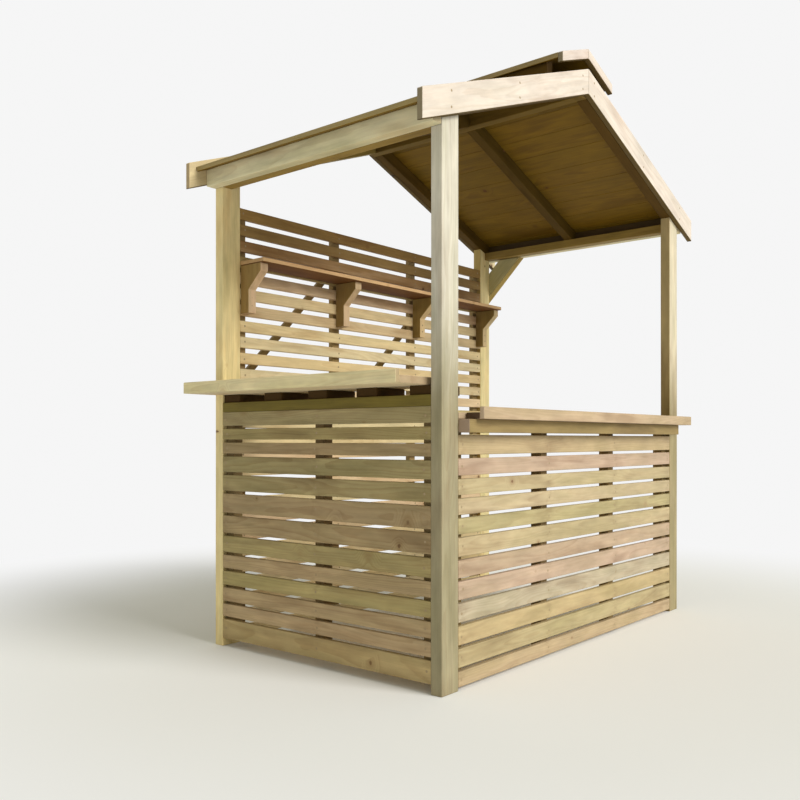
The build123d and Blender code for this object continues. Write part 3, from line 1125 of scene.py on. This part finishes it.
@dataclass(frozen=True)
class BoardRow:
    """Equal boards set out in a row, each with its own tone and rings."""

    name: str
    size: Vector
    grain: Grain
    places: list[Place]
    finish: WoodFinish
    seed: int
    turn: Point = (0.0, 0.0, 0.0)
    bow: Point = (0.0, 0.0, 0.0)

    def build(self) -> Piece:
        """Set out the row as one object with every board."""
        values = {"Piece": MILL.board(self.name + "_board", self.size, self.grain),
                  "Turn": self.turn, "Bow": self.bow, "Seed": self.seed,
                  "Finish": self.finish.material()}
        return RowTree.set_out(self.name, [place.centre for place in self.places], STRETCH,
                               [place.stretch for place in self.places], values)


@dataclass(frozen=True)
class ScrewSet:
    """Screw heads on the faces of timbers, from the edge of their rim to their cross recess."""

    name: str
    heads: list[tuple[Vector, Vector]]
    radius: float = 0.0032
    proud: float = 0.0002
    sides: int = 16
    profile: tuple[tuple[float, float], ...] = ((1.35, 0.0), (1.0, 0.3), (0.86, 0.9), (0.45, 1.0))
    recess: tuple[float, ...] = (0.42, 0.16, 0.16, 0.16)
    recess_rise: float = 0.2
    seed: int = 5

    def build(self) -> Piece:
        """Set the heads as one object."""
        values = {"Piece": self._head(), "Seed": self.seed, "Finish": SCREWS.material()}
        return ScrewTree.set_out(self.name, [place for place, _ in self.heads], FACING,
                                 [facing for _, facing in self.heads], values)

    def _head(self) -> Piece:
        """Domed head with a cross recess and a bruised rim of wood round it.

        Returns:
            The head, facing up, at the origin.
        """
        solid = bmesh.new()
        rings = [((share,) * self.sides, rise) for share, rise in self.profile]
        rings.append((self.recess * (self.sides // len(self.recess)), self.recess_rise))
        loops = []
        for shares, rise in rings:
            corners = []
            for number, share in enumerate(shares):
                angle, out = math.tau * number / self.sides, share * self.radius
                corner = (math.cos(angle) * out, math.sin(angle) * out, rise * self.proud)
                corners.append(solid.verts.new(corner))
            loops.append(corners)
        for outer, inner in zip(loops, loops[1:]):
            for i in range(self.sides):
                j = (i + 1) % self.sides
                solid.faces.new((outer[i], outer[j], inner[j], inner[i]))
        solid.faces.new(loops[-1])
        mesh = mesh_of(solid, "screw_head")
        brown, steel = [1.0] * self.sides, [0.0] * self.sides
        store(mesh, RIM, "FLOAT", "POINT", brown + steel * (len(loops) - 2) + brown)
        return placed(mesh, "screw_head")


def dressed(piece: Piece, finish: WoodFinish) -> Piece:
    """Give a piece one finish."""
    piece.data.materials.clear()
    piece.data.materials.append(finish.material())
    return piece


def joined(name: str, parts: list[Piece]) -> Piece:
    """Join objects into one mesh.

    Args:
        name: Name of the result.
        parts: Objects, each with its finish.

    Returns:
        The joined object.
    """
    whole = parts[0]
    if len(parts) > 1:
        with bpy.context.temp_override(active_object=whole, object=whole, selected_objects=parts,
                                       selected_editable_objects=parts):
            bpy.ops.object.join()
    whole.name = whole.data.name = name
    return whole


def hand_over(piece: Piece, slot: Slot | None, *nodes: str) -> None:
    """Attach a finished piece to the frame in place of the nodes that it shows.

    Args:
        piece: Finished piece.
        slot: Material slot of the record, or None for hardware; not used.
        *nodes: Nodes that it stands for.
    """
    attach(piece, "root")
    if nodes:
        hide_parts(*nodes)
    piece.data.calc_loop_triangles()
    LOG.info("%s: %d triangles", piece.name, len(piece.data.loop_triangles))


def show_timber(node: str, grain: Grain, finish: WoodFinish, slot: Slot, tone: float | None = None,
                hidden: Vector = DOWN) -> None:
    """Build and hand over a single timber.

    Args:
        node: Node that it stands for.
        grain: Which way its grain runs.
        finish: Its finish.
        slot: Material slot of the record.
        tone: Its own number for hue, or None to pick one.
        hidden: Which way its faces with painted shade look.
    """
    piece = dressed(MILL.timber(node, grain, tone, hidden), finish)
    piece.name = piece.data.name = "board_" + node
    hand_over(piece, slot, node)


@dataclass
class Posts:
    """The four corner posts."""

    front: WoodFinish = POSTS
    back: WoodFinish = BACK_POSTS
    front_tones: tuple[float, float] = (0.6, 0.35)
    back_tones: tuple[float, float] = (0.5, 0.7)

    def build(self) -> None:
        """Build and hand over the posts; the right ones are darker where they look inwards, as
        painted shade.
        """
        for gable, finish, tones in (("front", self.front, self.front_tones),
                                     ("back", self.back, self.back_tones)):
            for side, tone, hidden in zip(("left", "right"), tones, (UP, LEFTWARD)):
                show_timber(f"post_{gable}_{side}", Grain.UPRIGHT, finish, Slot.FRAME, tone, hidden)


@dataclass
class RoofFrame:
    """Eave beams and plates, ridge beam, rafters and the knee brace."""

    beams: WoodFinish = BEAMS
    beam_tone: float = 0.7
    ridge: WoodFinish = RIDGE
    rafters: WoodFinish = RAFTERS
    plates: WoodFinish = PLATES
    brace: WoodFinish = BRACE

    def build(self) -> None:
        """Build and hand over the roof's frame; the back rafter on the left gets the plates'
        lighter colour as painted light.
        """
        for (side, grain), inward in zip(SLOPES, (RIGHTWARD, LEFTWARD)):
            show_timber(f"eave_beam_{side}", Grain.DEPTH, self.beams, Slot.FRAME, self.beam_tone,
                        inward)
            show_timber(f"eave_plate_{side}", Grain.DEPTH, self.plates, Slot.FRAME)
            for place in ("front", "middle", "back"):
                # Painted light: the back rafter on the left takes the plates' lighter colour.
                finish = self.plates if (place, side) == ("back", "left") else self.rafters
                show_timber(f"rafter_{place}_{side}", grain, finish, Slot.FRAME)
        show_timber("ridge_beam", Grain.DEPTH, self.ridge, Slot.FRAME)
        show_timber("knee_brace", Grain.KNEE, self.brace, Slot.FRAME)


@dataclass
class RoofCover:
    """Roof boards laid along the ridge, with bargeboards on both gables."""

    boards: int = 9
    gap: float = 0.0006
    finish: WoodFinish = ROOFING
    fascia: WoodFinish = FASCIA
    back_fascia: WoodFinish = BACK_FASCIA
    screw_runs: tuple[float, ...] = (0.14, 0.52, 0.955)
    screw_drops: tuple[float, ...] = (-0.26, 0.26)
    seed: int = 21

    def build(self) -> None:
        """Build and hand over the roof's cover."""
        self._slope("left", 1)
        self._slope("right", -1)
        heads = []
        for gable, finish, facing in (("front", self.fascia, FRONTWARD),
                                      ("back", self.back_fascia, BACKWARD)):
            for side, grain in SLOPES:
                node = f"bargeboard_{gable}_{side}"
                show_timber(node, grain, finish, Slot.FASCIA)
                heads += self._bargeboard_screws(Span.of(node), side, facing)
        hand_over(ScrewSet("screws_bargeboards", heads).build(), None)

    def _slope(self, side: str, sign: int) -> None:
        """Boards of one slope.

        Args:
            side: left or right.
            sign: 1 where the slope rises with X, -1 where it falls.
        """
        node = f"roof_boards_{side}"
        span = Span.of(node)
        run = span.size.x
        upright = span.size.z - run * math.tan(PITCH)
        thickness = upright * math.cos(PITCH)
        step = run / math.cos(PITCH) / self.boards
        width = step - self.gap
        slope = Vector((math.cos(PITCH) * sign, 0, math.sin(PITCH)))
        edge_x = span.low.x if sign > 0 else span.high.x
        foot = Vector((edge_x, span.centre.y, span.low.z + upright / 2))
        trim = math.sin(PITCH) * thickness / 2
        places = []
        for number in range(self.boards):
            low = step * number + (trim if number == 0 else self.gap / 2)
            high = step * (number + 1) - (trim if number == self.boards - 1 else self.gap / 2)
            places.append(Place(foot + slope * (low + high) / 2, ((high - low) / width, 1.0, 1.0)))
        row = BoardRow(f"board_{node}", Vector((width, span.size.y, thickness)), Grain.DEPTH,
                       places, self.finish, self.seed + sign, turn=(0.0, -PITCH * sign, 0.0))
        hand_over(row.build(), Slot.ROOF, node)

    def _bargeboard_screws(self, span: Span, side: str, facing: Vector) -> list:
        """Pairs of screws where a bargeboard crosses the post, the middle and the ridge.

        Args:
            span: The bargeboard's box.
            side: left or right.
            facing: Out of the gable.

        Returns:
            Places and directions of the heads.
        """
        rise = math.tan(PITCH)
        upright = span.size.z - span.size.x * rise
        y = span.low.y + MILL.skin if facing.y < 0 else span.high.y - MILL.skin
        heads = []
        for share in self.screw_runs:
            run = span.size.x * share
            x = span.low.x + run if side == "left" else span.high.x - run
            middle = span.low.z + run * rise + upright / 2
            heads += [(Vector((x, y, middle + drop * upright)), facing)
                      for drop in self.screw_drops]
        return heads


@dataclass
class RidgeCap:
    """Raised cap over the ridge: boards on battens, with trims that close its ends."""

    finish: WoodFinish = ROOFING
    front_trims: WoodFinish = FASCIA
    back_trims: WoodFinish = BACK_FASCIA
    battens: WoodFinish = RAFTERS

    def build(self) -> None:
        """Build and hand over the cap."""
        for side, grain in SLOPES:
            show_timber(f"cap_board_{side}", Grain.DEPTH, self.finish, Slot.ROOF)
            show_timber(f"cap_batten_{side}", Grain.DEPTH, self.battens, Slot.FRAME)
            for gable, trims in (("front", self.front_trims), ("back", self.back_trims)):
                show_timber(f"cap_trim_{gable}_{side}", grain, trims, Slot.FASCIA)


@dataclass(frozen=True)
class MixedSlats:
    """Slats of mixed heights, drawn out evenly to fill a panel."""

    heights: tuple[float, ...]
    gap: float = 0.012

    def rows(self, total: float) -> Rows:
        """Start above the panel's foot and height of each slat, for the panel's height."""
        stretch = (total - self.gap * (len(self.heights) - 1)) / sum(self.heights)
        rows, low = [], 0.0
        for height in self.heights:
            rows.append((low, height * stretch))
            low += height * stretch + self.gap
        return rows


@dataclass(frozen=True)
class EvenSlats:
    """Slats of one height from the foot up, with the last one cut at the panel's top."""

    height: float
    gap: float
    least: float = 0.010

    def rows(self, total: float) -> Rows:
        """Start above the panel's foot and height of each slat, for the panel's height."""
        rows, low = [], 0.0
        while low < total - self.least:
            rows.append((low, min(self.height, total - low)))
            low += self.height + self.gap
        return rows


@dataclass
class SlattedPanel:
    """Level slats on upright battens, fixed with screws."""

    node: str
    grain: Grain
    facing: Vector
    slats: MixedSlats | EvenSlats
    battens: int
    finish: WoodFinish
    seed: int
    backing: WoodFinish = BATTENS
    slat: float = 0.020
    batten: float = 0.045
    bow: float = 0.0012
    screw_wander: float = 0.006
    screw_heights: tuple[float, float] = (0.42, 0.58)

    def build(self) -> None:
        """Build and hand over the panel with its screws."""
        span = Span.of(self.node)
        rows = self.slats.rows(span.size.z)
        level = 0 if abs(self.facing.y) > 0.5 else 1
        deep = 1 - level
        outside = span.high[deep] if self.facing[deep] > 0 else span.low[deep]
        inward = -1.0 if self.facing[deep] > 0 else 1.0
        usual = sorted(height for _, height in rows)[len(rows) // 2]
        size = Vector((0, 0, usual))
        size[level], size[deep] = span.size[level], self.slat
        places = []
        for start, height in rows:
            spot = span.centre
            spot[deep] = outside + inward * self.slat / 2
            spot.z = span.low.z + start + height / 2
            places.append(Place(spot, (1.0, 1.0, height / usual)))
        slats = BoardRow(self.node + "_slats", size, self.grain, places, self.finish, self.seed,
                         bow=(0.0, 0.0, self.bow)).build()
        battens = self._battens(span, level, deep, outside, inward)
        hand_over(joined("board_" + self.node, [slats, battens.build()]), Slot.CLADDING, self.node)
        heads = self._screws(battens, rows, deep, outside, span.low.z)
        hand_over(ScrewSet("screws_" + self.node, heads).build(), None)

    def _battens(self, span: Span, level: int, deep: int, outside: float,
                 inward: float) -> BoardRow:
        """Upright battens behind the slats.

        Args:
            span: The panel's box.
            level: Axis along the slats.
            deep: Axis through the panel.
            outside: Where the slats' outer faces are on that axis.
            inward: Direction from there into the panel.

        Returns:
            The row of battens.
        """
        depth = span.size[deep] - self.slat
        size = Vector((0, 0, span.size.z))
        size[level], size[deep] = self.batten, depth
        places = []
        for middle in spread(span.low[level], span.size[level], self.batten, self.battens):
            spot = span.centre
            spot[level] = middle
            spot[deep] = outside + inward * (self.slat + depth / 2)
            places.append(Place(spot))
        return BoardRow(self.node + "_battens", size, Grain.UPRIGHT, places, self.backing,
                        self.seed + 50)

    def _screws(self, battens: BoardRow, rows: Rows, deep: int, outside: float,
                foot: float) -> list:
        """One screw through each slat into each batten, a little out of line.

        Args:
            battens: The panel's battens.
            rows: Start and height of each slat.
            deep: Axis through the panel.
            outside: Where the slats' outer faces are on that axis.
            foot: Height of the panel's foot.

        Returns:
            Places and directions of the heads.
        """
        rng = random.Random(self.seed)
        heads = []
        for start, height in rows:
            for place in battens.places:
                spot = place.centre.copy()
                spot[deep] = outside
                spot[1 - deep] += rng.uniform(-self.screw_wander, self.screw_wander)
                spot.z = foot + start + height * rng.uniform(*self.screw_heights)
                heads.append((spot, self.facing))
        return heads


@dataclass
class Front:
    """Front panel and the counter on it."""

    slats: MixedSlats = MixedSlats((51, 62, 62, 62, 60, 58, 62, 52, 53, 52, 56, 66, 40))
    battens: int = 4
    cladding: WoodFinish = FRONT_SLATS
    counter: WoodFinish = FRONT_COUNTER
    edge: WoodFinish = FRONT_EDGE
    rail: WoodFinish = RAIL
    tone: float = 0.3
    seed: int = 31

    def build(self) -> None:
        """Build and hand over the front."""
        SlattedPanel("front_panel", Grain.WIDTH, FRONTWARD, self.slats, self.battens,
                     self.cladding, self.seed).build()
        show_timber("front_counter_rail", Grain.WIDTH, self.rail, Slot.COUNTER, self.tone)
        show_timber("front_counter_boards", Grain.WIDTH, self.counter, Slot.COUNTER)
        show_timber("front_counter_edge", Grain.WIDTH, self.edge, Slot.COUNTER, self.tone)


@dataclass
class LeftSide:
    """Left panel, its top rail, the cross supports and the counter on them."""

    slats: MixedSlats = MixedSlats((76, 49, 53, 54, 52, 64, 69, 75, 62, 62, 43, 43, 54))
    battens: int = 3
    supports: int = 5
    support: float = 0.095
    cladding: WoodFinish = LEFT_SLATS
    counter: WoodFinish = LEFT_COUNTER
    rail: WoodFinish = TOP_RAIL
    propping: WoodFinish = SUPPORTS
    rail_tone: float = 0.9
    edge_tone: float = 0.5
    seed: int = 43
    support_seed: int = 57

    def build(self) -> None:
        """Build and hand over the left side."""
        SlattedPanel("left_panel", Grain.DEPTH, LEFTWARD, self.slats, self.battens,
                     self.cladding, self.seed).build()
        show_timber("left_top_rail", Grain.DEPTH, self.rail, Slot.COUNTER, self.rail_tone)
        self._supports()
        show_timber("left_counter_boards", Grain.DEPTH, self.counter, Slot.COUNTER)
        show_timber("left_counter_edge", Grain.DEPTH, self.counter, Slot.COUNTER, self.edge_tone)

    def _supports(self) -> None:
        """Cross supports between the rail and the counter."""
        span = Span.of("left_counter_supports")
        size = Vector((span.size.x, self.support, span.size.z))
        places = [Place(Vector((span.centre.x, y, span.centre.z)))
                  for y in spread(span.low.y, span.size.y, self.support, self.supports)]
        row = BoardRow("board_left_counter_supports", size, Grain.WIDTH, places, self.propping,
                       self.support_seed)
        hand_over(row.build(), Slot.COUNTER, "left_counter_supports")


@dataclass
class Back:
    """Back panel with its braces, and the shelf on its brackets."""

    slats: EvenSlats = EvenSlats(0.045, 0.0205)
    battens: int = 4
    finish: WoodFinish = BACK_SLATS
    braces: WoodFinish = BATTENS
    shelf: WoodFinish = SHELF
    shelf_tone: float = 0.1
    bracket: WoodFinish = BRACKETS
    brackets: int = 4
    bracket_width: float = 0.042
    leg: float = 0.047
    leg_screws: tuple[float, ...] = (0.030, 0.062)
    shelf_screws: tuple[float, ...] = (0.030, 0.090)
    seed: int = 71

    def build(self) -> None:
        """Build and hand over the back."""
        SlattedPanel("back_panel", Grain.WIDTH, FRONTWARD, self.slats, self.battens, self.finish,
                     self.seed).build()
        for side in ("left", "right"):
            show_timber(f"back_brace_{side}", Grain.BRACE, self.braces, Slot.CLADDING)
        show_timber("shelf", Grain.WIDTH, self.shelf, Slot.SHELF, self.shelf_tone)
        # The brackets' left faces get painted shade.
        show_timber("shelf_brackets", Grain.UPRIGHT, self.bracket, Slot.SHELF, hidden=LEFTWARD)
        hand_over(ScrewSet("screws_shelf", self._shelf_screws()).build(), None)

    def _shelf_screws(self) -> list:
        """Two screws through each bracket's leg, and two through the shelf into the bracket.

        Returns:
            Places and directions of the heads.
        """
        span, top = Span.of("shelf_brackets"), Span.of("shelf").high.z - MILL.skin
        heads = []
        for x in spread(span.low.x, span.size.x, self.bracket_width, self.brackets):
            heads += [(Vector((x, span.high.y - self.leg, span.low.z + rise)), FRONTWARD)
                      for rise in self.leg_screws]
            heads += [(Vector((x, span.high.y - inset, top)), UP) for inset in self.shelf_screws]
        return heads


@dataclass
class Studio:
    """Pale floor and backdrop, soft daylight from the front, and the camera."""

    eye: Point = (-3.163104, -2.220783, 0.826335)
    heading: float = math.radians(50.266)
    lens: float = 39.257
    sensor: float = 36.0
    rise: float = 0.04868
    backdrop: Colour = (0.92, 0.92, 0.92)
    ambient: Colour = (0.48, 0.48, 0.41)
    floor: Colour = (0.86, 0.86, 0.86)
    floor_size: float = 40.0
    sun_height: float = math.radians(31)
    sun_side: float = math.radians(6)
    sun_power: float = 2.72
    sun_spread: float = math.radians(30)
    sun_colour: Colour = (1.0, 0.985, 0.955)

    def build(self) -> None:
        """Set up everything round the bar."""
        self._world()
        self._floor()
        self._sun()
        self._camera()
        bpy.context.scene.view_settings.view_transform = "Standard"

    def _world(self) -> None:
        """Ambient light, and a pale backdrop that the camera and mirrors see."""
        world = bpy.data.worlds.new("daylight")
        bpy.context.scene.world = world
        world.use_nodes = True
        graph = NodeGraph(world.node_tree)
        path = graph.add("ShaderNodeLightPath")
        seen = graph.math("MAXIMUM", path.outputs["Is Camera Ray"], path.outputs["Is Glossy Ray"])
        sky, card = (graph.add("ShaderNodeBackground", {"Color": opaque(colour), "Strength": 1.0})
                     for colour in (self.ambient, self.backdrop))
        both = graph.add("ShaderNodeMixShader", {0: seen, 1: sky.outputs[0], 2: card.outputs[0]})
        graph.add("ShaderNodeOutputWorld", {"Surface": both.outputs[0]})

    def _floor(self) -> None:
        """Plain floor under the bar."""
        solid = bmesh.new()
        bmesh.ops.create_grid(solid, x_segments=8, y_segments=8, size=self.floor_size)
        floor = placed(mesh_of(solid, "floor"), "floor")
        finish = FloorFinish("floor_card", self.floor, self.backdrop)
        floor.data.materials.append(finish.material())

    def _sun(self) -> None:
        """Soft key light over the viewer's right shoulder."""
        light = bpy.data.lights.new("key", "SUN")
        light.energy = self.sun_power
        light.angle = self.sun_spread
        light.color = self.sun_colour
        sun = bpy.data.objects.new("key", light)
        bpy.context.scene.collection.objects.link(sun)
        level = Vector((math.sin(self.sun_side), -math.cos(self.sun_side), 0))
        towards = level * math.cos(self.sun_height) + UP * math.sin(self.sun_height)
        sun.rotation_euler = towards.to_track_quat("Z", "Y").to_euler()

    def _camera(self) -> None:
        """Camera at the photo's viewpoint, level, with its horizon below the middle."""
        data = bpy.data.cameras.new("camera")
        data.lens = self.lens
        data.sensor_width = self.sensor
        data.shift_y = self.rise
        camera = bpy.data.objects.new("camera", data)
        bpy.context.scene.collection.objects.link(camera)
        camera.location = self.eye
        camera.rotation_euler = (math.radians(90), 0.0, -self.heading)
        bpy.context.scene.camera = camera


def main() -> None:
    """Build the bar's sub-assemblies and the studio."""
    logging.basicConfig(level=logging.INFO, format="%(name)s %(message)s")
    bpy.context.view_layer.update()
    for part in (Posts(), RoofFrame(), RoofCover(), RidgeCap(), Front(), LeftSide(), Back()):
        part.build()
    Studio().build()


if __name__ == "__main__":
    main()
